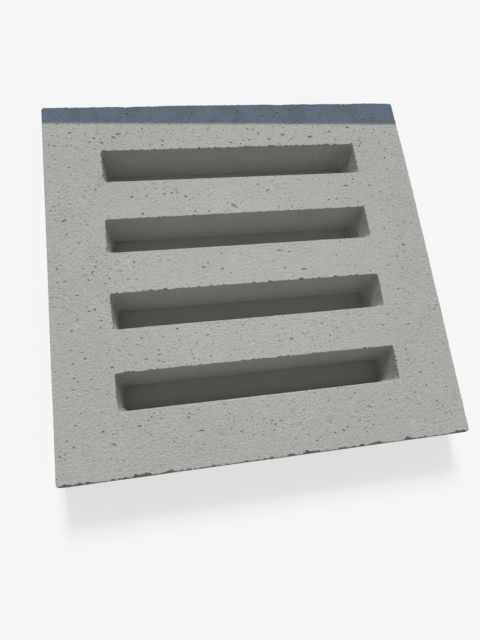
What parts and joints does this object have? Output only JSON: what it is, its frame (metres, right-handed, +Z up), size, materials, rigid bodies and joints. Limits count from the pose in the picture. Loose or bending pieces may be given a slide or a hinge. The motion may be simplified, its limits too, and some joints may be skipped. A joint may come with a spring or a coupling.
{
  "type": "concrete grate",
  "caption": "Squarish cast concrete floor grate: a flat slab with parallel slots right through it that narrow downwards, for muck and water to fall through.",
  "frame": {"origin": "middle of the underside, on the plane the grate lies on", "axes": "+Z up out of the face with the wide ends of the slots, +X along the slots, +Y towards the far side with the blue-grey strip"},
  "size_m": [0.4028, 0.3898, 0.042],
  "materials": {
    "concrete": "matt cast concrete with open air voids"
  },
  "bodies": {
    "root": {"grate_slab": "concrete"}
  },
  "joints": []
}
